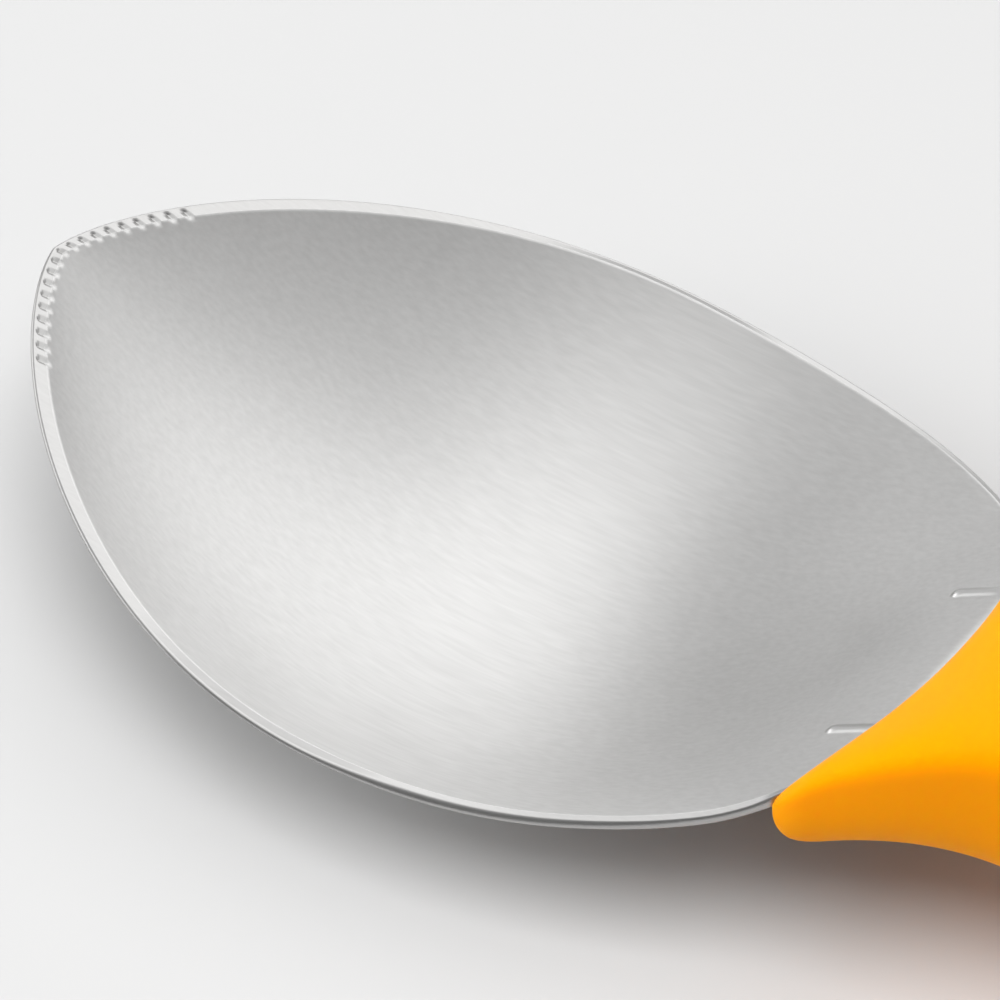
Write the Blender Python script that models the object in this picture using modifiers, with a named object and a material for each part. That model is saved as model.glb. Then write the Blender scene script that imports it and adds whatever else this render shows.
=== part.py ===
"""Fruit spoon: a stamped steel bowl with a serrated nose, moulded into a plastic handle.

Units are metres. +X runs from the bowl's nose to the handle's heel and +Z is up. The spoon lies
on the plane z = 0, on the bowl's belly and the handle's heel, centred over the origin.
A station is a distance behind the nose, and a reach is a distance behind the handle's mouth.
"""
import math

import bmesh
import bpy
from mathutils import Matrix, Vector

# Overall
BOWL_LENGTH = 0.0852         # nose to the middle of the handle's mouth
HANDLE_LENGTH = 0.1148       # middle of the mouth to the heel
FIT = 0.0003                 # gap between the steel and the plastic moulded round it

# Bowl, a leaf-shaped dish drawn from sheet
STEEL = 0.0010
BOWL_WIDTH = 0.060
WIDEST_STATION = 0.0434
SHOULDER_WIDTH = 0.0428      # where the dish starts to flatten towards the handle
NOSE_POWER = 0.70            # 0.5 gives an elliptic nose, more gives a keener one
RIM_SAG = 0.0068             # dip of the rim between nose and mouth
SAG_SKEW = 0.43              # how far the dip leans towards the mouth
DISH_DEPTH = 0.0112          # depth below the rim beside it
DISH_LEAD = 0.0057           # the drawn dish would run out this far ahead of the mouth
GROUND_WIDTH = 0.0008        # inner bevel ground along the rim
EDGE_LAND = 0.00045          # sheet left at the outer edge of that bevel

# Serration, grooves filed across the nose, all parallel to the spoon's axis
GROOVE_COUNT = 19
GROOVE_PITCH = 0.00115
GROOVE_RADIUS = 0.00042
GROOVE_DEPTH = 0.00034
GROOVE_START = 0.0015        # the files start this far ahead of the edge
GROOVE_LENGTH = 0.007

# Shoulders, tang and beads
SHOULDER_LEAD = 0.009        # where the dish starts to flatten, ahead of the mouth
FLAT_LEAD = 0.002            # where the section has become flat
NECK_BEND = 0.011            # reach at which the tang has turned level
NECK_RISE = 0.0045           # height of that place above the nose
TANG_WIDTH = 0.013
TANG_LENGTH = 0.046          # reach of the tang's end
TANG_TAPER = 0.011           # reach at which the shoulders have narrowed to the tang
TANG_CORNER = 0.003
ANCHOR_HOLE = 0.0055
ANCHOR_CUT = 0.008           # length of the punches that cut the anchor holes
ANCHOR_COUNT = 2
BEAD_SPACING = 0.018
BEAD_WIDTH = 0.0013
BEAD_HEIGHT = 0.00045
BEAD_LEAD = 0.0038           # how far the beads show ahead of the mouth
BEAD_LENGTH = 0.009

# Handle
HORN_LEAD = 0.0048           # how far the mouth's horns reach ahead of its middle
HORN_POWER = 2.0             # the mouth is flat in the middle and turns into the horns
HORN_WALL = 0.0016           # plastic outside the steel's edge
HORN_ROUND = 0.0022          # rounding of the mouth's edge, from front to back and at the sides
HORN_SIDE_ROUND = 0.0018
HORN_TAPER = 0.45            # how fast the horns draw in, at the mouth
LIP_TOP = 0.0011             # plastic above and below the steel at the mouth
LIP_BOTTOM = 0.0073
LIP_DROP = 0.0008            # how far the mouth's foremost line lies below the steel's middle
LIP_RISE = 0.20              # how fast the plastic thickens there, above and below
LIP_FALL = 0.40
HORN_CROWN = 1.5             # extra height of the horns over the middle of the mouth
NECK_REACH = 0.018
NECK_WIDTH = 0.0244
NECK_TOP = 0.0052            # plastic above and below the steel's middle, from the neck on
NECK_BOTTOM = 0.0146
NECK_SWELL = 0.06            # how fast the top still thickens at the neck
PALM_REACH = 0.066
PALM_WIDTH = 0.0265
PALM_TOP = 0.0068
PALM_BOTTOM = 0.0098
TAIL_WIDTH = 0.0245
TAIL_TOP = 0.0062
TAIL_BOTTOM = 0.0084
TAIL_TAPER = 0.05
END_ROUND = 0.0125
END_POWER = 2.3              # 2 gives an elliptic end, more gives a blunter one
HEEL_FROM_END = 0.028        # the handle lies on the table here, just ahead of the hanging hole
HEEL_FLAT = 0.00045          # depth of the rounded underside that is flattened there
HEEL_FALL = 0.10             # slope at which the handle comes down to the heel
TAIL_LIFT = 0.0004           # how far the middle line has risen again at the end
SECTION_POWER = 3.0          # 2 gives an oval section, more gives a squarer one
HANG_FROM_END = 0.0135
HANG_WIDTH = 0.0080
HANG_STRETCH = 1.3           # length of the hanging hole over its width
HANG_FLARE = 0.0020          # rounding of the hole's edges
HANG_OVER = 0.0005           # how far that rounding runs past the handle's faces

# Facets
NOSE_ROWS = 14
REAR_ROWS = 9
SHOULDER_ROWS = 9
TANG_ROWS = 9
CORNER_ROWS = 3
HALF_COLUMNS = 14
RINGS = (5, 9, 9, 8, 7)
SIDES = 36
HOLE_SIDES = 24
GROOVE_SIDES = 8
BEAD_SIDES = 12
BEAD_RINGS = 7               # odd, so that the bead's middle can be drawn out
FLARE_STEPS = 6
NOSE_CROWDING = 1.5          # how much closer the rows lie towards the nose

# Colours, linear, and finishes
STEEL_COLOUR = (0.62, 0.61, 0.60, 1.0)
STEEL_ROUGHNESS = 0.32
PLASTIC_COLOUR = (0.95, 0.47, 0.012, 1.0)
PLASTIC_ROUGHNESS = 0.38

OVERALL_LENGTH = BOWL_LENGTH + HANDLE_LENGTH
HALF_WIDTH = BOWL_WIDTH / 2
SHOULDER_STATION = BOWL_LENGTH - SHOULDER_LEAD
TANG_STATION = BOWL_LENGTH + TANG_TAPER
TANG_END = BOWL_LENGTH + TANG_LENGTH
BEND_STATION = BOWL_LENGTH + NECK_BEND
HEEL_STATION = OVERALL_LENGTH - HEEL_FROM_END
REAR_SEMI_AXIS = (SHOULDER_STATION - WIDEST_STATION) / math.sqrt(1 - (SHOULDER_WIDTH / BOWL_WIDTH) ** 2)
DISH_LENGTH = BOWL_LENGTH - DISH_LEAD
ANCHOR_STEP = (TANG_LENGTH - TANG_TAPER) / ANCHOR_COUNT
WELD = 1e-6
SLIVER = 4e-6                # points that the cuts leave closer than this are one point
SEARCH_STEPS = 2000


def hermite(stations, u):
    """Value at u on the smooth curve through rows of (station, value, slope)."""
    for (u0, v0, m0), (u1, v1, m1) in zip(stations, stations[1:]):
        if u <= u1 or u1 == stations[-1][0]:
            span = u1 - u0
            t = min(max((u - u0) / span, 0.0), 1.0)
            rise = (t - 1) ** 2 * t * m0 + (t - 1) * t * t * m1
            ease = t * t * (3 - 2 * t)
            return v0 + (v1 - v0) * ease + rise * span


def slope(curve, u, step=1e-5):
    return (curve(u + step) - curve(u - step)) / (2 * step)


# The steel sheet's outer face, as functions of the station

def nose_station(y):
    """Station of the outline's front half at the half width y."""
    full = min(abs(y) / HALF_WIDTH, 1.0) ** (1 / NOSE_POWER)
    return WIDEST_STATION * (1 - math.sqrt(1 - full))


def bowl_half_width(u):
    """Half width of the leaf-shaped outline, whose rear half is part of an ellipse."""
    if u < WIDEST_STATION:
        ahead = 1 - max(u, 0.0) / WIDEST_STATION
        return HALF_WIDTH * (1 - ahead ** 2) ** NOSE_POWER
    behind = (u - WIDEST_STATION) / REAR_SEMI_AXIS
    return HALF_WIDTH * math.sqrt(1 - behind ** 2)


def half_width(u):
    """Half width of the bowl, its shoulders and the tang with its rounded corners."""
    if u < SHOULDER_STATION:
        return bowl_half_width(u)
    shoulder = (SHOULDER_STATION, bowl_half_width(SHOULDER_STATION), slope(bowl_half_width, SHOULDER_STATION))
    width = hermite([shoulder, (TANG_STATION, TANG_WIDTH / 2, 0.0)], u)
    past = min(max(u - (TANG_END - TANG_CORNER), 0.0), TANG_CORNER)
    return width - TANG_CORNER + math.sqrt(TANG_CORNER ** 2 - past ** 2)


def rim_dip(u):
    share = u / BOWL_LENGTH
    return 4 * RIM_SAG * share * (1 - share) * (1 + SAG_SKEW * (2 * share - 1))


def drawn_dish(u):
    return 4 * DISH_DEPTH * (u / DISH_LENGTH) * (1 - u / DISH_LENGTH)


def dish(u):
    """Depth of the section at a station, which flattens out under the handle."""
    if u < SHOULDER_STATION:
        return drawn_dish(u)
    start = (SHOULDER_STATION, drawn_dish(SHOULDER_STATION), slope(drawn_dish, SHOULDER_STATION))
    return hermite([start, (BOWL_LENGTH - FLAT_LEAD, 0.0, 0.0)], u)


def drawn_drop(u):
    return rim_dip(u) + drawn_dish(u)


BELLY_STATION = max((SHOULDER_STATION * i / SEARCH_STEPS for i in range(SEARCH_STEPS)), key=drawn_drop)
NOSE_HEIGHT = drawn_drop(BELLY_STATION)


def drawn_keel(u):
    return NOSE_HEIGHT - drawn_drop(u)


def heel_height():
    """Height of the middle line at the heel, where the plastic below it reaches the table."""
    below = handle_profile(HEEL_STATION - BOWL_LENGTH)[2]
    return below - STEEL / 2 - HEEL_FLAT


def keel(u):
    """Height of the spoon's middle line, from the nose through the belly to the handle's end."""
    if u < SHOULDER_STATION:
        return drawn_keel(u)
    return hermite([
        (SHOULDER_STATION, drawn_keel(SHOULDER_STATION), slope(drawn_keel, SHOULDER_STATION)),
        (BEND_STATION, NOSE_HEIGHT + NECK_RISE, 0.0),
        (HEEL_STATION, heel_height(), -HEEL_FALL),
        (OVERALL_LENGTH, heel_height() + TAIL_LIFT, 0.0),
    ], u)


def sheet_point(u, y):
    """Point of the sheet's outer face at a station and a distance from the axis."""
    width = half_width(u)
    across = min(abs(y) / width, 1.0) if width > WELD else 1.0
    return Vector((u - OVERALL_LENGTH / 2, y, keel(u) + dish(u) * across ** 2))


def sheet_normal(u, y, step=1e-4):
    along = sheet_point(u + step, y) - sheet_point(u - step, y)
    aside = sheet_point(u, y + step) - sheet_point(u, y - step)
    return along.cross(aside).normalized()


# Scene helpers

def clear_scene():
    for item in list(bpy.data.objects):
        bpy.data.objects.remove(item, do_unlink=True)


def make_collection(name):
    collection = bpy.data.collections.new(name)
    bpy.context.scene.collection.children.link(collection)
    return collection


def make_object(name, bm, collection):
    mesh = bpy.data.meshes.new(name)
    bm.to_mesh(mesh)
    bm.free()
    mesh.shade_smooth()
    item = bpy.data.objects.new(name, mesh)
    collection.objects.link(item)
    return item


def hide_cutter(item):
    item.hide_render = True
    item.display_type = 'WIRE'
    return item


def make_cutter(name, bm):
    return hide_cutter(make_object(name, bm, CUTTERS))


def make_material(name, colour, roughness, metallic):
    material = bpy.data.materials.new(name)
    material.use_nodes = True
    shader = material.node_tree.nodes["Principled BSDF"]
    shader.inputs["Base Color"].default_value = colour
    shader.inputs["Roughness"].default_value = roughness
    shader.inputs["Metallic"].default_value = metallic
    return material


def combine(item, operation, other):
    boolean = item.modifiers.new(other.name, 'BOOLEAN')
    boolean.operation = operation
    boolean.solver = 'EXACT'
    boolean.object = other


def close_slivers(item):
    weld = item.modifiers.new("Slivers", 'WELD')
    weld.merge_threshold = SLIVER


# Steel bowl

def sheet_stations():
    """Stations of the grid's rows, closer together towards the nose."""
    rows = [WIDEST_STATION * (i / NOSE_ROWS) ** NOSE_CROWDING for i in range(NOSE_ROWS)]
    spans = (
        (WIDEST_STATION, SHOULDER_STATION, REAR_ROWS),
        (SHOULDER_STATION, TANG_STATION, SHOULDER_ROWS),
        (TANG_STATION, TANG_END - TANG_CORNER, TANG_ROWS),
    )
    for start, end, count in spans:
        rows += [start + (end - start) * i / count for i in range(count)]
    turns = [math.pi / 2 * i / CORNER_ROWS for i in range(CORNER_ROWS + 1)]
    return rows + [TANG_END - TANG_CORNER * (1 - math.sin(turn)) for turn in turns]


def grid_place(row, column, stations, grow):
    """Station and half width of a vertex. Row 0 is the nose's edge and the last column the rim."""
    nose_half = GROOVE_COUNT * GROOVE_PITCH / 2
    share = min(column / (HALF_COLUMNS - 1), 1.0)
    on_rim = column == HALF_COLUMNS
    if row == 0:
        y = nose_half if on_rim else share * (nose_half - GROUND_WIDTH)
        return nose_station(y), y
    start = stations[row - 1]
    bow = max(1 - start / WIDEST_STATION, 0.0) ** 2
    edge = start + (GROUND_WIDTH + nose_station(nose_half)) * bow
    if on_rim:
        return edge, half_width(edge) + grow
    u = start + (GROUND_WIDTH + nose_station(share * nose_half)) * bow
    return u, share * (half_width(edge) + grow - GROUND_WIDTH)


def make_sheet_mesh(grow):
    """Half of the sheet's outer face, open at the plane y = 0, with the rim in a vertex group."""
    stations = sheet_stations()
    rows = len(stations)
    bm = bmesh.new()
    bmesh.ops.create_grid(bm, x_segments=rows, y_segments=HALF_COLUMNS, size=0.5)
    weights = bm.verts.layers.deform.verify()
    for vert in bm.verts:
        row = round((vert.co.x + 0.5) * rows)
        column = round((vert.co.y + 0.5) * HALF_COLUMNS)
        u, y = grid_place(row, column, stations, grow)
        vert.co = sheet_point(u, y)
        if row == rows:
            vert.co.x += grow
        ground = (row == 0 or column == HALF_COLUMNS) and u < SHOULDER_STATION
        vert[weights][0] = EDGE_LAND / STEEL if ground else 1.0
    return bm


def make_bead_mesh(side, grow):
    """A pressed bead: a flattened capsule lying on the inner face and running under the handle."""
    y = side * BEAD_SPACING / 2
    front = BOWL_LENGTH - BEAD_LEAD
    normal = sheet_normal(front, y)
    start = sheet_point(front, y) + normal * STEEL
    end = sheet_point(front + BEAD_LENGTH, y) + sheet_normal(front + BEAD_LENGTH, y) * STEEL
    along = (end - start).normalized()
    aside = normal.cross(along).normalized()
    upright = along.cross(aside)
    half_width_here = BEAD_WIDTH / 2 + grow
    half_height = BEAD_HEIGHT + grow
    bm = bmesh.new()
    bmesh.ops.create_uvsphere(bm, u_segments=BEAD_SIDES, v_segments=BEAD_RINGS, radius=1.0)
    for vert in bm.verts:
        lengthwise = half_width_here * vert.co.z
        lengthwise += (end - start).length if vert.co.z > 0 else 0.0
        vert.co = (start + along * lengthwise + aside * half_width_here * vert.co.x
                   + upright * half_height * vert.co.y)
    bmesh.ops.recalc_face_normals(bm, faces=bm.faces)
    return bm


def make_anchor_mesh(reach, grow):
    radius = ANCHOR_HOLE / 2 - grow
    place = sheet_point(BOWL_LENGTH + reach, 0.0) + Vector((0, 0, STEEL / 2))
    bm = bmesh.new()
    bmesh.ops.create_cone(
        bm, cap_ends=True, segments=HOLE_SIDES, radius1=radius, radius2=radius, depth=ANCHOR_CUT,
        matrix=Matrix.Translation(place))
    return bm


def make_groove_mesh():
    """The serration: a row of round files, each lying along the axis on the edge of the nose."""
    bm = bmesh.new()
    along = Matrix.Rotation(math.pi / 2, 4, 'Y') @ Matrix.Rotation(math.pi / GROOVE_SIDES, 4, 'Z')
    for index in range(GROOVE_COUNT):
        y = (index - (GROOVE_COUNT - 1) / 2) * GROOVE_PITCH
        u = nose_station(y)
        crest = sheet_point(u, y)
        crest.z += EDGE_LAND * math.cos(math.atan(slope(drawn_keel, u)))
        centre = crest + Vector((GROOVE_LENGTH / 2 - GROOVE_START, 0, GROOVE_RADIUS - GROOVE_DEPTH))
        bmesh.ops.create_cone(
            bm, cap_ends=True, segments=GROOVE_SIDES, radius1=GROOVE_RADIUS, radius2=GROOVE_RADIUS,
            depth=GROOVE_LENGTH, matrix=Matrix.Translation(centre) @ along)
    return bm


def make_sheet(name, grow, collection):
    """The formed sheet with its beads and anchor holes, grown on every face by the given gap."""
    bm = make_sheet_mesh(grow)
    sheet = make_object(name, bm, collection)
    sheet.vertex_groups.new(name="full_thickness")
    mirror = sheet.modifiers.new("Mirror", 'MIRROR')
    mirror.use_axis = (False, True, False)
    mirror.merge_threshold = WELD
    thickness = STEEL + 2 * grow
    solidify = sheet.modifiers.new("Sheet", 'SOLIDIFY')
    solidify.thickness = thickness
    solidify.offset = 1 - 2 * grow / thickness
    solidify.use_even_offset = True
    solidify.vertex_group = "full_thickness"
    for side, label in ((-1, "near"), (1, "far")):
        combine(sheet, 'UNION', make_cutter(f"{name}_bead_{label}", make_bead_mesh(side, grow)))
    for number in range(ANCHOR_COUNT):
        reach = TANG_TAPER + ANCHOR_STEP * (number + 0.5)
        combine(sheet, 'DIFFERENCE', make_cutter(f"{name}_anchor_{number}", make_anchor_mesh(reach, grow)))
    return sheet


def make_steel_bowl():
    bowl = make_sheet("steel_bowl", 0.0, PARTS)
    combine(bowl, 'DIFFERENCE', make_cutter("serration_grooves", make_groove_mesh()))
    close_slivers(bowl)
    bowl.data.materials.append(make_material("brushed_steel", STEEL_COLOUR, STEEL_ROUGHNESS, 1.0))


# Handle

def horn_half_width():
    return half_width(BOWL_LENGTH - HORN_LEAD) + HORN_WALL


def tail_reach():
    return HANDLE_LENGTH - END_ROUND


def handle_profile(reach):
    """Half width, and plastic above and below the steel's middle, at a reach, before the ends are rounded."""
    pocket = STEEL / 2 + FIT
    rows = (
        (0.0, horn_half_width(), -HORN_TAPER, pocket + LIP_TOP, LIP_RISE, pocket + LIP_BOTTOM, LIP_FALL),
        (NECK_REACH, NECK_WIDTH / 2, 0.0, NECK_TOP, NECK_SWELL, NECK_BOTTOM, 0.0),
        (PALM_REACH, PALM_WIDTH / 2, 0.0, PALM_TOP, 0.0, PALM_BOTTOM, 0.0),
        (tail_reach(), TAIL_WIDTH / 2, -TAIL_TAPER, TAIL_TOP, -TAIL_TAPER, TAIL_BOTTOM, 0.0),
    )
    return [hermite([(row[0], row[i], row[i + 1]) for row in rows], reach) for i in (1, 3, 5)]


def mouth_lead(y):
    """How far the mouth's edge lies ahead of its middle, at a distance from the axis."""
    full = horn_half_width() - HORN_SIDE_ROUND
    return HORN_LEAD * min(abs(y) / full, 1.0) ** HORN_POWER


def handle_point(reach, turn):
    """Point of the handle's skin at a reach and at a turn round its section."""
    half, top, bottom = handle_profile(reach)
    into_mouth = 1 - min(reach / HORN_ROUND, 1.0)
    into_end = min(max((reach - tail_reach()) / END_ROUND, 0.0), 1.0)
    front = math.sqrt(1 - into_mouth ** 2)
    back = max(1 - into_end ** END_POWER, 0.0) ** (1 / END_POWER)
    half = (half - HORN_SIDE_ROUND * (1 - front)) * back
    cosine = math.cos(turn)
    sine = math.sin(turn)
    y = half * math.copysign(abs(cosine) ** (2 / SECTION_POWER), cosine)
    lead = max(1 - reach / NECK_REACH, 0.0) ** 2
    top *= 1 + HORN_CROWN * lead * cosine ** 2
    drop = LIP_DROP * lead
    lift = (top + drop if sine > 0 else drop - bottom) * front * back * abs(sine) ** (2 / SECTION_POWER) - drop
    point = sheet_point(BOWL_LENGTH + reach - mouth_lead(y) * lead, y)
    point.z = max(point.z + STEEL / 2 + lift, 0.0)
    return point


def ring_reaches():
    """Reaches of the handle's rings, closer together at its rounded ends."""
    mouth, neck, palm, tail, end = RINGS
    rings = [HORN_ROUND * (1 - math.cos(math.pi / 2 * i / mouth)) for i in range(mouth)]
    spans = ((HORN_ROUND, NECK_REACH, neck), (NECK_REACH, PALM_REACH, palm), (PALM_REACH, tail_reach(), tail))
    for start, stop, count in spans:
        rings += [start + (stop - start) * i / count for i in range(count)]
    return rings + [tail_reach() + END_ROUND * math.sin(math.pi / 2 * i / end) for i in range(end + 1)]


def make_handle_mesh():
    """The handle's skin: a grid rolled into a tube, whose two ends close on themselves."""
    reaches = ring_reaches()
    rings = len(reaches) - 1
    bm = bmesh.new()
    bmesh.ops.create_grid(bm, x_segments=rings, y_segments=SIDES, size=0.5)
    for vert in bm.verts:
        reach = reaches[round((vert.co.x + 0.5) * rings)]
        turn = 2 * math.pi * (round((vert.co.y + 0.5) * SIDES) + 0.5) / SIDES
        vert.co = handle_point(reach, turn)
    bmesh.ops.remove_doubles(bm, verts=bm.verts, dist=WELD)
    bmesh.ops.recalc_face_normals(bm, faces=bm.faces)
    return bm


def make_hanging_hole():
    """A waisted spool, whose flared ends round the edges of the hole that it cuts."""
    reach = HANDLE_LENGTH - HANG_FROM_END
    top = handle_point(reach, math.pi / 2)
    bottom = handle_point(reach, -math.pi / 2)
    half_height = (top.z - bottom.z) / 2 + HANG_OVER
    waist = HANG_WIDTH / 2
    angles = [math.pi / 2 * (i / FLARE_STEPS - 1) for i in range(2 * FLARE_STEPS + 1)]
    profile = [(waist + HANG_FLARE * (1 - math.cos(a)), half_height * math.sin(a)) for a in reversed(angles)]
    flared = profile[0][0]
    over = 2 * half_height
    outline = [(0.0, over), (flared, over), *profile, (flared, -over), (0.0, -over)]
    bm = bmesh.new()
    verts = [bm.verts.new((x, 0.0, z)) for x, z in outline]
    for pair in zip(verts, verts[1:]):
        bm.edges.new(pair)
    hole = make_cutter("hanging_hole", bm)
    hole.location = (top + bottom) / 2
    hole.rotation_euler.y = -math.atan(slope(keel, BOWL_LENGTH + reach)) / 2
    hole.scale.x = HANG_STRETCH
    screw = hole.modifiers.new("Turn", 'SCREW')
    screw.steps = HOLE_SIDES
    screw.render_steps = HOLE_SIDES
    screw.use_merge_vertices = True
    screw.merge_threshold = WELD
    return hole


def make_handle():
    handle = make_object("handle", make_handle_mesh(), PARTS)
    combine(handle, 'DIFFERENCE', hide_cutter(make_sheet("tang_pocket", FIT, CUTTERS)))
    combine(handle, 'DIFFERENCE', make_hanging_hole())
    close_slivers(handle)
    handle.data.materials.append(make_material("yellow_plastic", PLASTIC_COLOUR, PLASTIC_ROUGHNESS, 0.0))


clear_scene()
PARTS = make_collection("fruit_spoon")
CUTTERS = make_collection("cutters")
make_steel_bowl()
make_handle()
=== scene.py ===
import math

import bmesh
import bpy
import numpy as np
from mathutils import Matrix, Vector


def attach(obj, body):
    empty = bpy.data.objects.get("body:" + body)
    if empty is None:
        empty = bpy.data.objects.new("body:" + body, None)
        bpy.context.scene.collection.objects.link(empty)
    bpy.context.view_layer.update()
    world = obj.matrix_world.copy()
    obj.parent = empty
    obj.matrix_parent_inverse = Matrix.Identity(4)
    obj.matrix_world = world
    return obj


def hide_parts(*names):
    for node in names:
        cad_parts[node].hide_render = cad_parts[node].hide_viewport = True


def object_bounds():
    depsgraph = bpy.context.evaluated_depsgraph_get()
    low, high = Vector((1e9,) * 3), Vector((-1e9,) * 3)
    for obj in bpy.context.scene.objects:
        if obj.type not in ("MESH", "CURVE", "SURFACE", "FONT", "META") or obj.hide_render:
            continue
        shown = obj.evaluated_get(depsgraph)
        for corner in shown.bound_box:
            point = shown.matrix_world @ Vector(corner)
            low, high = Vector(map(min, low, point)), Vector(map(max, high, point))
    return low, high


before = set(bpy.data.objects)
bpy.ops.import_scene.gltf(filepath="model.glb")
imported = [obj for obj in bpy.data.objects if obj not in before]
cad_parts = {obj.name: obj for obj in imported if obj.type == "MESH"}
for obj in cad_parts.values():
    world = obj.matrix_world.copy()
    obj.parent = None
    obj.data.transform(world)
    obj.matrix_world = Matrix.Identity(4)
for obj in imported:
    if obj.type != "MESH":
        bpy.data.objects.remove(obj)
cad_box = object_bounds()

# Sizes of the spoon, in metres. A station lies behind the nose and a reach behind the handle's mouth.
BOWL_LENGTH = 0.0852
HANDLE_LENGTH = 0.1148
OVERALL_LENGTH = BOWL_LENGTH + HANDLE_LENGTH
STEEL = 0.0010
HALF_WIDTH = 0.030
WIDEST_STATION = 0.0434
SHOULDER_WIDTH = 0.0428
SHOULDER_STATION = BOWL_LENGTH - 0.009
REAR_SEMI_AXIS = (SHOULDER_STATION - WIDEST_STATION) / math.sqrt(1 - (SHOULDER_WIDTH / 2 / HALF_WIDTH) ** 2)
NOSE_POWER = 0.70
RIM_SAG = 0.0068
SAG_SKEW = 0.43
DISH_DEPTH = 0.0112
DISH_LENGTH = BOWL_LENGTH - 0.0057
FLAT_STATION = BOWL_LENGTH - 0.002
BEND_STATION = BOWL_LENGTH + 0.011
NECK_RISE = 0.0045
TANG_HALF = 0.0065
TANG_STATION = BOWL_LENGTH + 0.011
TANG_END = BOWL_LENGTH + 0.046
TANG_CORNER = 0.003

# The sheet's bend at the mouth: stations, drops below the handle's own line, and slopes
DIP_START = BOWL_LENGTH - 0.0190
MOUTH_STATION = BOWL_LENGTH - 0.0012
MOUTH_DROP = 0.0009
MOUTH_FALL = 0.03
STEP_STATION = BOWL_LENGTH + 0.0002
STEP_DROP = MOUTH_DROP + 0.0003
STEP_FALL = 0.46
TANG_DROP = MOUTH_DROP + 0.0008

# Ground bevel, filed nose and pressed beads
GROUND_WIDTH = 0.00055
NARROW_WIDTH = 0.00024              # width of the bevel behind the nose
NARROWING = (0.012, 0.038)          # stations over which it narrows
EDGE_LAND = 0.00045                 # steel left under the bevel at the edge
REAR_LAND = 0.00076
SHALLOWING = (0.043, 0.055)         # stations over which that grows to the rear land
GROUND_ENDS = (0.079, 0.082)        # the bevel runs out here, under the horns
EDGE_ROUND = 0.00012
RIM_BAND = 0.0024                   # finer mesh along the rim
GROOVE_COUNT = 19
GROOVE_PITCH = 0.00115
GROOVE_HALF = 0.00036
GROOVE_DEPTH = 0.00028
GROOVE_START = 0.00010              # a smooth line is left at the edge, outside the grooves
GROOVE_FULL = 4 * GROOVE_START      # they have their full depth from here on
GROOVE_RUN_OUT = 0.00025            # and run out this far behind the bevel
NOSE_SPAN = 0.0112                  # half width of the filed part of the rim
NOSE_ROOM = 0.0040                  # rows of the sheet that start at the nose's tip stay on their own side
BEAD_Y = 0.009
BEAD_HALF = 0.00070
BEAD_HEIGHT = 0.00016
BEAD_HEAD = 0.00006                 # its front end stands higher, as a round head
BEAD_FRONT = BOWL_LENGTH - 0.0045
BEAD_BACK = BOWL_LENGTH + 0.003

# Mesh of the sheet
RIM_STOPS = (0.074, 0.0795, 0.0825, 0.089)    # stations between which its rows are evenly spaced
NOSE_FAN = 0.008                    # rows from the nose meet the middle line up to this far back
BEAD_STRIP = 0.0011                 # half width of the strip of narrow columns round a bead
STRIP_SHARES = (0.2, 0.75)          # shares of the columns at which that strip starts and ends
GATHERING = (0.072, 0.079)          # stations over which the columns gather into it
SPREADING = (0.0885, 0.0925)        # and spread again
CORNER_STEPS = 4
EDGE_STEPS = 7
WELD = 1e-7
# Rows along the nose and between the stops behind it, columns on the bevel and as many behind it,
# and columns from there to the middle
BOWL_MESH = (281, (120, 14, 32, 30, 30), 12, 60)
POCKET_MESH = (9, (16, 6, 24, 26, 20), 2, 40)
BRUSHED, GROUND, BURNISHED = range(3)         # finishes of the steel

# Handle: half widths, and plastic above and below the steel's middle
MOUTH_SETBACK = 0.0004
HORN_LEAD = 0.0050
HORN_POWER = 2.2
HORN_WALL = 0.0016
HORN_ROUND = 0.0022
HORN_TOP_FULLNESS = 2.0             # the horns' front is round above
HORN_FULLNESS = 3.0                 # and fuller below
HORN_SIDE_ROUND = 0.0018
HORN_TAPER = 0.45
HORN_CROWN = 0.6
LIP_TOP = STEEL / 2 + 0.0014
LIP_BOTTOM = STEEL / 2 + 0.0076
LIP_RISE = 0.20
LIP_FALL = 0.40
LIP_DROP = 0.0008
NECK_REACH = 0.018
NECK_HALF = 0.0122
NECK_TOP = 0.0052
NECK_SWELL = 0.06
NECK_BOTTOM = 0.0146
PALM_REACH = 0.066
PALM_HALF = 0.01325
PALM_TOP = 0.0068
PALM_BOTTOM = 0.0098
END_ROUND = 0.0125
END_POWER = 2.3
TAIL_REACH = HANDLE_LENGTH - END_ROUND
TAIL_HALF = 0.01225
TAIL_TOP = 0.0062
TAIL_BOTTOM = 0.0084
TAIL_TAPER = 0.05
SECTION_POWER = 3.0
TOP_POWER = 3.8                     # the upper half of the section is squarer
HEEL_STATION = OVERALL_LENGTH - 0.028
HEEL_FLAT = 0.00045
HEEL_FALL = 0.10
TAIL_LIFT = 0.0004
HANG_REACH = HANDLE_LENGTH - 0.0135
HANG_WIDTH = 0.0080
HANG_STRETCH = 1.3
HANG_FLARE = 0.0020
HANG_OVER = 0.0005
SEAM = 0.00006                      # gap in which the plastic meets the steel
SHARP_ANGLE = math.radians(42)

# Stage and camera
FLOOR_HALF = 4.0
FLOOR_DROP = 0.00003                # the floor lies just under the spoon
LAMP_DISTANCE = 1.6
CAMERA_TARGET = (-0.059429, 0.003612, 0.009209)
CAMERA_AZIMUTH = math.radians(33.814)
CAMERA_ELEVATION = math.radians(44.828)
CAMERA_DISTANCE = 1.428
CAMERA_LENS = 648.6


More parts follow.
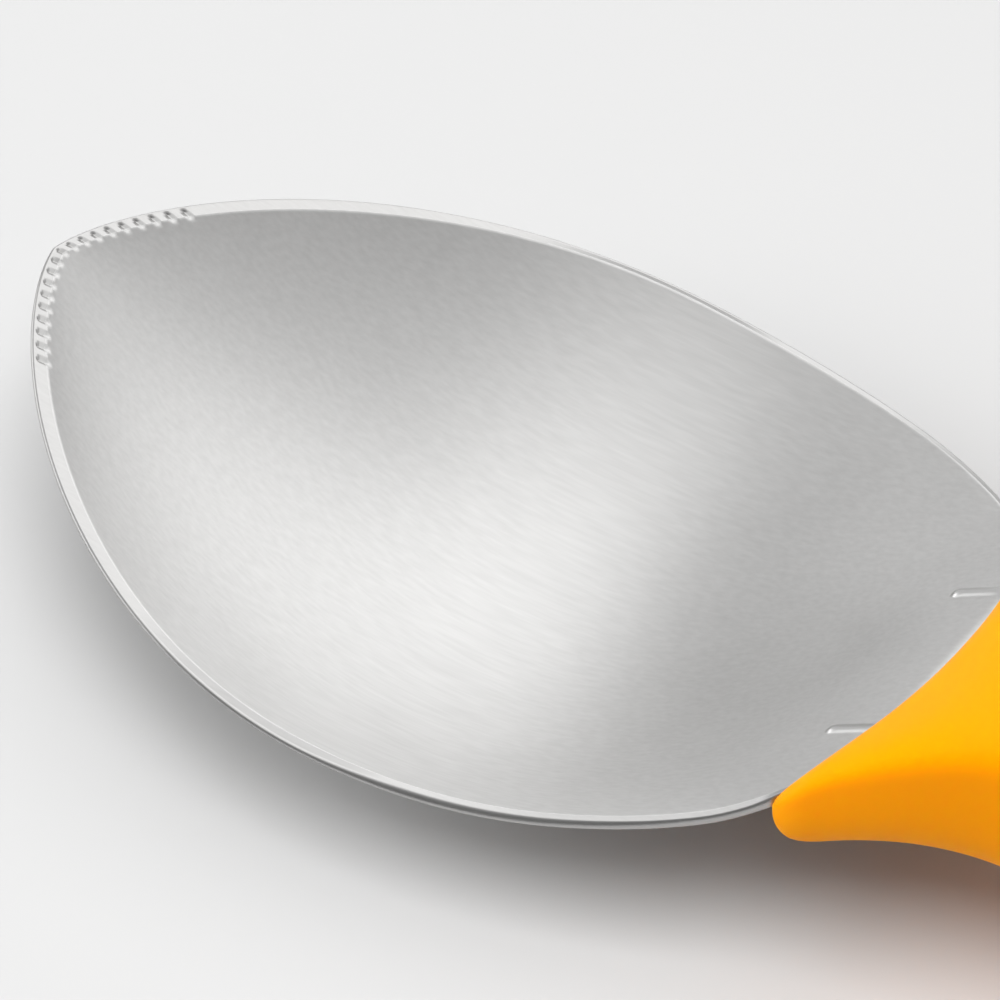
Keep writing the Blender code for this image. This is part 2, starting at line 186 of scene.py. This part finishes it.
def hermite(rows, u):
    """Smooth curve through rows of (place, value, slope), read at an array of places."""
    u = np.asarray(u, float)
    result = np.full(u.shape, rows[0][1], float)
    for (u0, v0, m0), (u1, v1, m1) in zip(rows, rows[1:]):
        span = u1 - u0
        t = np.clip((u - u0) / span, 0, 1)
        value = v0 + (v1 - v0) * t * t * (3 - 2 * t) + span * ((t - 1) ** 2 * t * m0 + (t - 1) * t * t * m1)
        result = np.where(u >= u0, value, result)
    return result


def ease(u, start, end):
    t = np.clip((np.asarray(u, float) - start) / (end - start), 0, 1)
    return t * t * (3 - 2 * t)


def slope(curve, u, step=1e-5):
    return float((curve(u + step) - curve(u - step)) / (2 * step))


# The steel sheet's outer face

def nose_station(y):
    full = np.minimum(np.abs(y) / HALF_WIDTH, 1) ** (1 / NOSE_POWER)
    return WIDEST_STATION * (1 - np.sqrt(1 - full))


def bowl_half_width(u):
    ahead = np.clip(1 - u / WIDEST_STATION, 0, 1)
    behind = np.clip((u - WIDEST_STATION) / REAR_SEMI_AXIS, 0, 1)
    return HALF_WIDTH * (1 - ahead ** 2) ** NOSE_POWER * np.sqrt(1 - behind ** 2)


def half_width(u):
    shoulder_half = float(bowl_half_width(SHOULDER_STATION))
    shoulder = (SHOULDER_STATION, shoulder_half, slope(bowl_half_width, SHOULDER_STATION))
    width = hermite([shoulder, (TANG_STATION, TANG_HALF, 0.0)], u)
    past = np.clip(u - (TANG_END - TANG_CORNER), 0, TANG_CORNER)
    width = width - TANG_CORNER + np.sqrt(TANG_CORNER ** 2 - past ** 2)
    return np.where(u < SHOULDER_STATION, bowl_half_width(u), width)


def rim_dip(u):
    share = u / BOWL_LENGTH
    return 4 * RIM_SAG * share * (1 - share) * (1 + SAG_SKEW * (2 * share - 1))


def drawn_dish(u):
    return 4 * DISH_DEPTH * (u / DISH_LENGTH) * (1 - u / DISH_LENGTH)


def drawn_drop(u):
    return rim_dip(u) + drawn_dish(u)


def dish(u):
    start = (SHOULDER_STATION, drawn_dish(SHOULDER_STATION), slope(drawn_dish, SHOULDER_STATION))
    return np.where(u < SHOULDER_STATION, drawn_dish(u), hermite([start, (FLAT_STATION, 0.0, 0.0)], u))


def handle_profile(reach):
    """Half width, and plastic above and below the steel's middle, at an array of reaches."""
    horn_half = float(half_width(BOWL_LENGTH - HORN_LEAD)) + HORN_WALL
    half = hermite([
        (0, horn_half, -HORN_TAPER), (NECK_REACH, NECK_HALF, 0),
        (PALM_REACH, PALM_HALF, 0), (TAIL_REACH, TAIL_HALF, -TAIL_TAPER)], reach)
    top = hermite([
        (0, LIP_TOP, LIP_RISE), (NECK_REACH, NECK_TOP, NECK_SWELL),
        (PALM_REACH, PALM_TOP, 0), (TAIL_REACH, TAIL_TOP, -TAIL_TAPER)], reach)
    bottom = hermite([
        (0, LIP_BOTTOM, LIP_FALL), (NECK_REACH, NECK_BOTTOM, 0),
        (PALM_REACH, PALM_BOTTOM, 0), (TAIL_REACH, TAIL_BOTTOM, 0)], reach)
    return half, top, bottom


NOSE_HEIGHT = float(drawn_drop(np.linspace(0, SHOULDER_STATION, 2001)).max())
HEEL_HEIGHT = float(handle_profile(HEEL_STATION - BOWL_LENGTH)[2]) - STEEL / 2 - HEEL_FLAT


def keel(u):
    """Height of the middle line, from the nose through the belly to the handle's end."""
    behind = hermite([
        (SHOULDER_STATION, NOSE_HEIGHT - drawn_drop(SHOULDER_STATION), -slope(drawn_drop, SHOULDER_STATION)),
        (BEND_STATION, NOSE_HEIGHT + NECK_RISE, 0),
        (HEEL_STATION, HEEL_HEIGHT, -HEEL_FALL),
        (OVERALL_LENGTH, HEEL_HEIGHT + TAIL_LIFT, 0)], u)
    return np.where(u < SHOULDER_STATION, NOSE_HEIGHT - drawn_drop(u), behind)


def mouth_bend(u):
    """How far the sheet, which bends level as it enters the handle, lies below the handle's own line."""
    return hermite([
        (DIP_START, 0, 0), (MOUTH_STATION, MOUTH_DROP, MOUTH_FALL),
        (STEP_STATION, STEP_DROP, STEP_FALL), (TANG_STATION, TANG_DROP, 0)], u)


def sheet_height(u, y):
    return keel(u) + dish(u) * (y / np.maximum(half_width(u), WELD)) ** 2 - mouth_bend(u)


def sheet_normal(u, y, step=1e-5):
    back = np.minimum(step, u / 2)
    along = (sheet_height(u + step, y) - sheet_height(u - back, y)) / (step + back)
    aside = (sheet_height(u, y + step) - sheet_height(u, y - step)) / (2 * step)
    normal = np.stack([-along, -aside, np.ones_like(along)], -1)
    return normal / np.linalg.norm(normal, axis=-1, keepdims=True)


# Making meshes

def make_piece(name, verts, faces, finish=None):
    """A smooth mesh, whose faces take the piece's materials by the numbers in finish."""
    mesh = bpy.data.meshes.new(name)
    mesh.from_pydata(verts.reshape(-1, 3).tolist(), [], faces)
    if finish:
        mesh.polygons.foreach_set('material_index', finish)
    bm = bmesh.new()
    bm.from_mesh(mesh)
    bmesh.ops.remove_doubles(bm, verts=bm.verts, dist=WELD)
    bmesh.ops.recalc_face_normals(bm, faces=bm.faces)
    bm.to_mesh(mesh)
    bm.free()
    mesh.shade_smooth()
    piece = bpy.data.objects.new(name, mesh)
    bpy.context.scene.collection.objects.link(piece)
    return piece


def tube_faces(rings, around):
    """Quads between rings of points, each ring closing on itself."""
    first = np.arange(rings - 1)[:, None] * around
    here = np.arange(around)[None, :]
    there = (here + 1) % around
    quads = np.stack([first + here, first + there, first + around + there, first + around + here], -1)
    return quads.reshape(-1, 4).tolist()


def cut(piece, cutter):
    """Takes the cutter out of the piece for good, and removes the cutter."""
    boolean = piece.modifiers.new(cutter.name, 'BOOLEAN')
    boolean.operation = 'DIFFERENCE'
    boolean.solver = 'EXACT'
    boolean.object = cutter
    depsgraph = bpy.context.evaluated_depsgraph_get()
    mesh = bpy.data.meshes.new_from_object(piece.evaluated_get(depsgraph))
    piece.modifiers.clear()
    piece.data = mesh
    bpy.data.objects.remove(cutter)


# Steel bowl

def bead_height(u, y):
    """Two short pressed beads on the inner face, with round ends."""
    past = np.maximum(np.maximum(BEAD_FRONT - u, u - BEAD_BACK), 0)
    away = np.hypot(past, np.abs(y) - BEAD_Y) / BEAD_HALF
    to_head = np.hypot(u - BEAD_FRONT, np.abs(y) - BEAD_Y) / BEAD_HALF
    return BEAD_HEIGHT * np.clip(1 - away ** 2, 0, 1) ** 2 + BEAD_HEAD * np.clip(1 - to_head ** 2, 0, 1) ** 2


def groove_depth(y, inset, bevel_width):
    """Depth of the grooves filed across the bevel of the nose, all parallel to the spoon's axis."""
    outermost = GROOVE_COUNT // 2
    middle = np.clip(np.round(y / GROOVE_PITCH), -outermost, outermost) * GROOVE_PITCH
    beside = np.clip(1 - np.abs(y - middle) / GROOVE_HALF, 0, 1)
    start = ease(inset, GROOVE_START, GROOVE_FULL)
    stop = ease(inset, bevel_width + EDGE_ROUND, bevel_width + EDGE_ROUND + GROOVE_RUN_OUT)
    return GROOVE_DEPTH * beside * start * (1 - stop)


def rim_places(nose_rows, rows_behind):
    """Stations and half widths along the rim of the far half, from the nose to the tang's end."""
    nose_y = np.linspace(0, NOSE_SPAN, nose_rows)
    stops = (float(nose_station(NOSE_SPAN)), *RIM_STOPS, TANG_END - TANG_CORNER)
    behind = [np.linspace(a, b, n + 1)[1:] for a, b, n in zip(stops, stops[1:], rows_behind)]
    corner = TANG_END - TANG_CORNER * (1 - np.sin(np.linspace(0, math.pi / 2, CORNER_STEPS + 1)[1:]))
    behind = np.concatenate(behind + [corner])
    return np.concatenate([nose_station(nose_y), behind]), np.concatenate([nose_y, half_width(behind)])


def sheet_grid(u_rim, y_rim, inset, columns, grow):
    """Places on the far half of the sheet, as arrays of stations and distances from the middle line.

    Each row starts square to the rim, through the given insets, and then runs to the middle line.
    Behind the bowl the columns gather round the bead.
    """
    du = np.gradient(u_rim)
    dy = np.gradient(y_rim)
    du[0] = 0.0
    du = np.where(u_rim > TANG_STATION, 1.0, du)
    dy = np.where(u_rim > TANG_STATION, 0.0, dy)
    inward = np.minimum(du / np.hypot(du, dy), y_rim / NOSE_ROOM)
    onward = np.sign(dy) * np.sqrt(1 - inward ** 2)
    reach = inset - grow
    u_edge = np.maximum(u_rim[:, None] + onward[:, None] * reach, 0.0)
    y_edge = y_rim[:, None] - inward[:, None] * reach
    u_last = u_edge[:, -1:]
    y_last = y_edge[:, -1:]

    share = np.arange(1, columns + 1) / columns
    beside, between = STRIP_SHARES
    high, low = BEAD_Y + BEAD_STRIP, BEAD_Y - BEAD_STRIP
    gathered = np.where(
        share < beside, y_last + (high - y_last) * share / beside,
        np.where(share < between, high + (low - high) * (share - beside) / (between - beside),
                 low * (1 - share) / (1 - between)))
    gather = (ease(u_rim, *GATHERING) * (1 - ease(u_rim, *SPREADING)))[:, None]
    y_inner = y_last * (1 - share) * (1 - gather) + gathered * gather
    centre = (u_rim + NOSE_FAN * np.clip(1 - u_rim / WIDEST_STATION, 0, 1) ** 2)[:, None]
    along = np.where(y_last > WELD, 1 - y_inner / np.maximum(y_last, WELD), share)
    u_inner = u_last + (centre - u_last) * along
    return np.concatenate([u_edge, u_inner], 1), np.concatenate([y_edge, y_inner], 1)


def make_sheet(name, nose_rows, rows_behind, bevel_columns, columns, grow=0.0):
    """The formed sheet as one closed shell, grown on every face by the given gap."""
    u_rim, y_rim = rim_places(nose_rows, rows_behind)
    narrow = ease(u_rim, *NARROWING)[:, None]
    bevel_width = GROUND_WIDTH + (NARROW_WIDTH - GROUND_WIDTH) * narrow
    share = np.linspace(0, 1, bevel_columns + 1)
    behind_bevel = bevel_width + (RIM_BAND - bevel_width) * share[1:]
    inset = np.concatenate([bevel_width * share, behind_bevel], 1) + EDGE_ROUND
    u, y = sheet_grid(u_rim, y_rim, inset, columns, grow)
    normal = sheet_normal(u, y)
    bevel = np.zeros(u.shape)
    bevel[:, :bevel_columns + 1] = 1 - share
    ground = bevel * (1 - ease(u, *GROUND_ENDS))
    land = EDGE_LAND + (REAR_LAND - EDGE_LAND) * ease(u_rim, *SHALLOWING)[:, None]
    bead = bead_height(u, y)
    thickness = STEEL - (STEEL - land) * ground + bead
    thickness[:, :inset.shape[1]] -= groove_depth(y[:, :inset.shape[1]], inset, bevel_width)
    face = np.stack([u - OVERALL_LENGTH / 2, y, sheet_height(u, y)], -1)
    outer = face - normal * grow
    inner = face + normal * (thickness + grow)[..., None]
    outward = outer[:, :1] - outer[:, 1:2]
    outward = outward / np.linalg.norm(outward, axis=-1, keepdims=True)
    turn = (1 - np.cos(np.linspace(0, math.pi, EDGE_STEPS + 2)[1:-1])) / 2
    bulge = EDGE_ROUND * 2 * np.sqrt(turn * (1 - turn))
    edge = [outer[:, :1] * (1 - t) + inner[:, :1] * t + outward * b for t, b in zip(turn, bulge)]
    far = np.concatenate([outer[:, ::-1], *edge, inner], 1)
    ring = np.concatenate([far, far[:, -2:0:-1] * (1, -1, 1)], 1)
    rings, around = ring.shape[:2]
    faces = tube_faces(rings, around)
    faces.append([(rings - 1) * around + i for i in range(around)])
    worked = np.where(bead > 0, BURNISHED, np.where(ground > 0, GROUND, BRUSHED))
    worked = np.concatenate([np.full(u.shape, BRUSHED), np.full((rings, EDGE_STEPS), GROUND), worked], 1)
    worked = np.concatenate([worked, worked[:, -2:0:-1]], 1)
    worked = np.minimum(worked, np.roll(worked, -1, 1))
    finish = np.minimum(worked[:-1], worked[1:]).ravel().tolist() + [BRUSHED]
    return make_piece(name, ring, faces, finish)


# Handle

def handle_skin(reach, turn):
    """Points of the handle's skin, at reaches down the rows and turns along them."""
    half, top, bottom = handle_profile(reach)
    into_mouth = 1 - np.clip(reach / HORN_ROUND, 0, 1)
    into_end = np.clip((reach - TAIL_REACH) / END_ROUND, 0, 1)
    fullness = np.where(np.sin(turn) > 0, HORN_TOP_FULLNESS, HORN_FULLNESS)
    front = (1 - into_mouth ** fullness) ** (1 / fullness)
    back = (1 - into_end ** END_POWER) ** (1 / END_POWER)
    half = (half - HORN_SIDE_ROUND * (1 - np.sqrt(1 - into_mouth ** 2))) * back
    # Both halves of the section have one power at the mouth, so that its edge closes
    squarer = (TOP_POWER - SECTION_POWER) * (1 - into_mouth)
    power = SECTION_POWER + np.where(np.sin(turn) > 0, squarer, 0.0)
    out = (np.abs(np.cos(turn)) ** power + np.abs(np.sin(turn)) ** power) ** (-1 / power)
    across = out * np.cos(turn)
    upward = out * np.sin(turn)
    lead = np.clip(1 - reach / NECK_REACH, 0, 1) ** 2
    top = top * (1 + HORN_CROWN * lead * np.abs(across) ** SECTION_POWER)
    drop = LIP_DROP * lead
    lift = np.where(upward > 0, top + drop, bottom - drop) * front * back * upward - drop
    y = half * across
    mouth_half = handle_profile(0.0)[0] - HORN_SIDE_ROUND
    ahead = HORN_LEAD * np.minimum(np.abs(y) / mouth_half, 1) ** HORN_POWER - MOUTH_SETBACK
    u = BOWL_LENGTH + reach - ahead * lead
    height = keel(u) + dish(u) * np.minimum(np.abs(y) / half_width(u), 1) ** 2 + STEEL / 2 + lift
    return np.stack([u - OVERALL_LENGTH / 2, y, np.clip(height, 0.0, cad_box[1][2])], -1)


def make_hanging_hole():
    """A waisted spool, whose flared ends round the edges of the hole that it cuts."""
    sides, steps = 96, 24
    reach = np.array([[HANG_REACH]])
    top = Vector(handle_skin(reach, np.array([[math.pi / 2]]))[0, 0])
    bottom = Vector(handle_skin(reach, np.array([[-math.pi / 2]]))[0, 0])
    half_height = (top.z - bottom.z) / 2 + HANG_OVER
    lean = np.linspace(-math.pi / 2, math.pi / 2, 2 * steps + 1)
    radius = HANG_WIDTH / 2 + HANG_FLARE * (1 - np.cos(lean))
    radius = np.concatenate([radius[:1], radius, radius[-1:]])[:, None]
    height = half_height * np.sin(lean)
    height = np.concatenate([[-2 * half_height], height, [2 * half_height]])[:, None]
    turn = np.linspace(0, 2 * math.pi, sides, endpoint=False) + math.pi / sides
    ring = np.stack([HANG_STRETCH * radius * np.cos(turn), radius * np.sin(turn), height + 0 * turn], -1)
    faces = tube_faces(len(radius), sides)
    faces += [list(range(sides)), [(len(radius) - 1) * sides + i for i in range(sides)]]
    hole = make_piece("hanging_hole", ring, faces)
    fall = math.atan(slope(keel, BOWL_LENGTH + HANG_REACH)) / 2
    hole.data.transform(Matrix.Translation((top + bottom) / 2) @ Matrix.Rotation(-fall, 4, 'Y'))
    return hole


def make_handle():
    sides = 144
    horn_rings, neck_rings, palm_rings, end_rings = 18, 60, 100, 36
    reach = np.concatenate([
        HORN_ROUND * (1 - np.cos(np.linspace(0, math.pi / 2, horn_rings + 1)))[:-1],
        np.linspace(HORN_ROUND, NECK_REACH, neck_rings + 1)[:-1],
        np.linspace(NECK_REACH, TAIL_REACH, palm_rings + 1)[:-1],
        TAIL_REACH + END_ROUND * np.sin(np.linspace(0, math.pi / 2, end_rings + 1))])
    turn = 2 * math.pi * (np.arange(sides) + 0.5) / sides
    skin = handle_skin(reach[:, None], turn[None, :])
    handle = make_piece("grip", skin, tube_faces(len(reach), sides))
    cut(handle, make_sheet("tang_pocket", *POCKET_MESH, grow=SEAM))
    cut(handle, make_hanging_hole())
    handle.data.shade_smooth()
    handle.data.set_sharp_from_angle(angle=SHARP_ANGLE)
    return handle


# Materials

def add(tree, kind, **settings):
    node = tree.nodes.new(kind)
    for key, value in settings.items():
        setattr(node, key, value)
    return node


def value_math(tree, operation, a, b):
    node = add(tree, 'ShaderNodeMath', operation=operation)
    for socket, value in zip(node.inputs, (a, b)):
        if isinstance(value, (int, float)):
            socket.default_value = value
        else:
            tree.links.new(value, socket)
    return node.outputs[0]


def weigh(tree, first, *others):
    """Sum of pairs of a value and its weight."""
    total = value_math(tree, 'MULTIPLY', *first)
    for pair in others:
        total = value_math(tree, 'ADD', total, value_math(tree, 'MULTIPLY', *pair))
    return total


def remap(tree, value, low, high):
    node = add(tree, 'ShaderNodeMapRange')
    node.inputs['To Min'].default_value = low
    node.inputs['To Max'].default_value = high
    tree.links.new(value, node.inputs['Value'])
    return node.outputs['Result']


def blend_colours(tree, mask, first, second):
    """A mix of two colours. Its colour sockets share their names with others, so they go by number."""
    node = add(tree, 'ShaderNodeMix', data_type='RGBA')
    node.inputs[6].default_value = (*first, 1.0)
    node.inputs[7].default_value = (*second, 1.0)
    tree.links.new(mask, node.inputs[0])
    return node.outputs[2]


def make_streaks_group():
    """Fine lines and longer soft dashes along the spoon, and the slow mottle of a hand-finished sheet."""
    group = bpy.data.node_groups.new("brush_streaks", 'ShaderNodeTree')
    for name, default in (("Across", 6000.0), ("Along", 300.0), ("Mottle", 120.0)):
        socket = group.interface.new_socket(name, in_out='INPUT', socket_type='NodeSocketFloat')
        socket.default_value = default
    for name in ("Lines", "Dashes", "Patches"):
        group.interface.new_socket(name, in_out='OUTPUT', socket_type='NodeSocketFloat')
    inputs = add(group, 'NodeGroupInput')
    outputs = add(group, 'NodeGroupOutput')
    place = add(group, 'ShaderNodeTexCoord').outputs['Object']

    def noise(scale_along, scale_across, detail):
        scale = add(group, 'ShaderNodeCombineXYZ')
        for socket, value in zip(scale.inputs, (scale_along, scale_across, scale_across)):
            group.links.new(value, socket)
        stretched = add(group, 'ShaderNodeVectorMath', operation='MULTIPLY')
        group.links.new(place, stretched.inputs[0])
        group.links.new(scale.outputs[0], stretched.inputs[1])
        texture = add(group, 'ShaderNodeTexNoise')
        texture.inputs['Scale'].default_value = 1.0
        texture.inputs['Detail'].default_value = detail
        group.links.new(stretched.outputs[0], texture.inputs['Vector'])
        return texture.outputs['Fac']

    across, along, mottle = inputs.outputs[:3]
    group.links.new(noise(along, across, 3.0), outputs.inputs['Lines'])
    dash_along = value_math(group, 'MULTIPLY', along, 0.75)
    dash_across = value_math(group, 'MULTIPLY', across, 0.42)
    group.links.new(noise(dash_along, dash_across, 0.0), outputs.inputs['Dashes'])
    group.links.new(noise(mottle, mottle, 2.0), outputs.inputs['Patches'])
    return group


def place_streaks(tree, group, across, along, mottle):
    node = add(tree, 'ShaderNodeGroup')
    node.node_tree = group
    for name, value in (("Across", across), ("Along", along), ("Mottle", mottle)):
        node.inputs[name].default_value = value
    return node.outputs


def make_steel(name, streaks, across, along, dark, light, smooth, rough, anisotropic, bump):
    material = bpy.data.materials.new(name)
    material.use_nodes = True
    tree = material.node_tree
    shader = tree.nodes['Principled BSDF']
    shader.inputs['Metallic'].default_value = 1.0
    shader.inputs['Anisotropic'].default_value = anisotropic
    lines, dashes, patches = place_streaks(tree, streaks, across, along, mottle=130.0)[:3]
    tone = weigh(tree, (lines, 0.45), (patches, 0.25), (dashes, 0.45))
    tree.links.new(blend_colours(tree, tone, dark, light), shader.inputs['Base Color'])
    wear = weigh(tree, (lines, 0.5), (patches, 0.5))
    tree.links.new(remap(tree, wear, smooth, rough), shader.inputs['Roughness'])
    ridges = add(tree, 'ShaderNodeBump')
    ridges.inputs['Strength'].default_value = bump
    ridges.inputs['Distance'].default_value = 0.00002
    tree.links.new(lines, ridges.inputs['Height'])
    tree.links.new(ridges.outputs[0], shader.inputs['Normal'])
    across_grain = add(tree, 'ShaderNodeCombineXYZ')
    across_grain.inputs['Y'].default_value = 1.0
    turned = add(
        tree, 'ShaderNodeVectorTransform', vector_type='VECTOR', convert_from='OBJECT', convert_to='WORLD')
    tree.links.new(across_grain.outputs[0], turned.inputs[0])
    tree.links.new(turned.outputs[0], shader.inputs['Tangent'])
    return material


def make_plastic():
    material = bpy.data.materials.new("yellow_moulding")
    material.use_nodes = True
    tree = material.node_tree
    shader = tree.nodes['Principled BSDF']
    shader.inputs['Specular IOR Level'].default_value = 0.04
    shader.inputs['Subsurface Weight'].default_value = 0.4
    shader.inputs['Subsurface Scale'].default_value = 0.0025
    shader.inputs['Subsurface Radius'].default_value = (1.0, 0.2, 0.05)
    place = add(tree, 'ShaderNodeTexCoord').outputs['Object']
    grain = add(tree, 'ShaderNodeTexNoise')
    grain.inputs['Scale'].default_value = 5200.0
    grain.inputs['Detail'].default_value = 2.0
    tree.links.new(place, grain.inputs['Vector'])
    flow = add(tree, 'ShaderNodeTexNoise')
    flow.inputs['Scale'].default_value = 45.0
    flow.inputs['Detail'].default_value = 3.0
    tree.links.new(place, flow.inputs['Vector'])
    colour = blend_colours(tree, flow.outputs['Fac'], (0.955, 0.315, 0.0), (0.985, 0.335, 0.0))
    tree.links.new(colour, shader.inputs['Base Color'])
    tree.links.new(remap(tree, flow.outputs['Fac'], 0.36, 0.46), shader.inputs['Roughness'])
    bump = add(tree, 'ShaderNodeBump')
    bump.inputs['Strength'].default_value = 0.05
    bump.inputs['Distance'].default_value = 0.00003
    tree.links.new(grain.outputs['Fac'], bump.inputs['Height'])
    tree.links.new(bump.outputs[0], shader.inputs['Normal'])
    return material


# Stage

def make_floor():
    mesh = bpy.data.meshes.new("table_top")
    corners = [(FLOOR_HALF * x, FLOOR_HALF * y, 0) for x, y in ((-1, -1), (1, -1), (1, 1), (-1, 1))]
    mesh.from_pydata(corners, [], [(0, 1, 2, 3)])
    floor = bpy.data.objects.new("table_top", mesh)
    floor.location.z = -FLOOR_DROP
    bpy.context.scene.collection.objects.link(floor)
    material = bpy.data.materials.new("pale_table")
    material.use_nodes = True
    shader = material.node_tree.nodes['Principled BSDF']
    shader.inputs['Base Color'].default_value = (0.58, 0.58, 0.58, 1.0)
    shader.inputs['Roughness'].default_value = 0.9
    shader.inputs['Specular IOR Level'].default_value = 0.0
    mesh.materials.append(material)


def make_world():
    """Even light on matt surfaces, and a plain pale backdrop behind the table.

    In the steel, the room is darker low down on the camera's side.
    """
    world = bpy.data.worlds.new("studio")
    world.use_nodes = True
    tree = world.node_tree
    fill = tree.nodes['Background']
    fill.inputs['Color'].default_value = (1.0, 1.0, 1.0, 1.0)
    fill.inputs['Strength'].default_value = 0.25
    backdrop = add(tree, 'ShaderNodeBackground')
    backdrop.inputs['Color'].default_value = (1.0, 1.0, 1.0, 1.0)
    backdrop.inputs['Strength'].default_value = 0.84
    room = add(tree, 'ShaderNodeBackground')
    room.inputs['Color'].default_value = (1.0, 1.0, 1.0, 1.0)
    way = add(tree, 'ShaderNodeTexCoord').outputs['Generated']
    parts = add(tree, 'ShaderNodeSeparateXYZ')
    tree.links.new(way, parts.inputs[0])
    far = value_math(tree, 'MULTIPLY', parts.outputs['Y'], 0.6)
    far_or_high = value_math(tree, 'ADD', far, parts.outputs['Z'])
    level = add(tree, 'ShaderNodeMapRange', interpolation_type='SMOOTHSTEP')
    for name, value in (('From Min', -0.2), ('From Max', 0.5), ('To Min', 0.22), ('To Max', 0.74)):
        level.inputs[name].default_value = value
    tree.links.new(far_or_high, level.inputs['Value'])
    tree.links.new(level.outputs['Result'], room.inputs['Strength'])
    path = add(tree, 'ShaderNodeLightPath').outputs
    in_gloss = value_math(tree, 'MAXIMUM', path['Is Glossy Ray'], path['Is Transmission Ray'])
    matt_or_gloss = add(tree, 'ShaderNodeMixShader')
    tree.links.new(in_gloss, matt_or_gloss.inputs[0])
    tree.links.new(fill.outputs[0], matt_or_gloss.inputs[1])
    tree.links.new(room.outputs[0], matt_or_gloss.inputs[2])
    with_backdrop = add(tree, 'ShaderNodeMixShader')
    tree.links.new(path['Is Camera Ray'], with_backdrop.inputs[0])
    tree.links.new(matt_or_gloss.outputs[0], with_backdrop.inputs[1])
    tree.links.new(backdrop.outputs[0], with_backdrop.inputs[2])
    tree.links.new(with_backdrop.outputs[0], tree.nodes['World Output'].inputs[0])
    bpy.context.scene.world = world


def make_softbox(name, azimuth, elevation, size, radiance, on_matt=True, in_gloss=True):
    """A large rectangular lamp on the studio's dome, in degrees round from the handle's end and up."""
    light = bpy.data.lights.new(name, 'AREA')
    light.shape = 'RECTANGLE'
    light.size, light.size_y = size
    light.energy = radiance * math.pi * size[0] * size[1]
    lamp = bpy.data.objects.new(name, light)
    turn, rise = math.radians(azimuth), math.radians(elevation)
    way = Vector((math.cos(rise) * math.cos(turn), math.cos(rise) * math.sin(turn), math.sin(rise)))
    lamp.location = way * LAMP_DISTANCE
    lamp.rotation_euler = way.to_track_quat('Z', 'Y').to_euler()
    lamp.visible_camera = False
    lamp.visible_diffuse = on_matt
    lamp.visible_glossy = in_gloss
    bpy.context.scene.collection.objects.link(lamp)


def make_camera():
    level = math.cos(CAMERA_ELEVATION)
    back = Vector((math.sin(CAMERA_AZIMUTH) * level, -math.cos(CAMERA_AZIMUTH) * level,
                   math.sin(CAMERA_ELEVATION)))
    camera = bpy.data.cameras.new("camera")
    camera.lens = CAMERA_LENS
    camera.sensor_width = 36.0
    camera.clip_end = 20.0
    item = bpy.data.objects.new("camera", camera)
    item.location = Vector(CAMERA_TARGET) + back * CAMERA_DISTANCE
    item.rotation_euler = back.to_track_quat('Z', 'Y').to_euler()
    bpy.context.scene.collection.objects.link(item)
    bpy.context.scene.camera = item


bpy.context.scene.view_settings.view_transform = 'Standard'
streaks = make_streaks_group()
brushed = make_steel(
    "lengthwise_brushed_steel", streaks, across=6500.0, along=320.0,
    dark=(0.49, 0.487, 0.482), light=(0.64, 0.637, 0.631),
    smooth=0.42, rough=0.52, anisotropic=0.6, bump=0.12)
ground = make_steel(
    "ground_edge_steel", streaks, across=9000.0, along=500.0,
    dark=(0.39, 0.387, 0.382), light=(0.47, 0.467, 0.462),
    smooth=0.26, rough=0.32, anisotropic=0.3, bump=0.0)
burnished = make_steel(
    "burnished_bead_steel", streaks, across=9000.0, along=500.0,
    dark=(0.55, 0.547, 0.542), light=(0.60, 0.597, 0.592),
    smooth=0.28, rough=0.32, anisotropic=0.3, bump=0.0)
plastic = make_plastic()

bowl = make_sheet("bowl", *BOWL_MESH)
bowl.data.materials.append(brushed)
bowl.data.materials.append(ground)
bowl.data.materials.append(burnished)
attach(bowl, "root")
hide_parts("steel_bowl")

handle = make_handle()
handle.data.materials.append(plastic)
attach(handle, "root")
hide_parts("handle")

make_floor()
make_world()
# The first four lamps show only in glossy reflections, and the last three light only matt surfaces
make_softbox("far_softbox", 105, 42, (2.0, 1.9), 1.15, on_matt=False)
make_softbox("overhead_softbox", 205, 74, (1.3, 1.2), 0.86, on_matt=False)
make_softbox("nose_side_card", 195, 9, (1.7, 0.5), 2.1, on_matt=False)
make_softbox("handle_side_reflector", 38, 48, (1.0, 0.9), 0.22, on_matt=False)
make_softbox("top_key", 288, 74, (1.2, 1.2), 5.1, in_gloss=False)
make_softbox("far_key", 92, 58, (1.6, 1.4), 1.35, in_gloss=False)
make_softbox("near_left_key", 216, 28, (1.1, 0.9), 4.72, in_gloss=False)
make_camera()
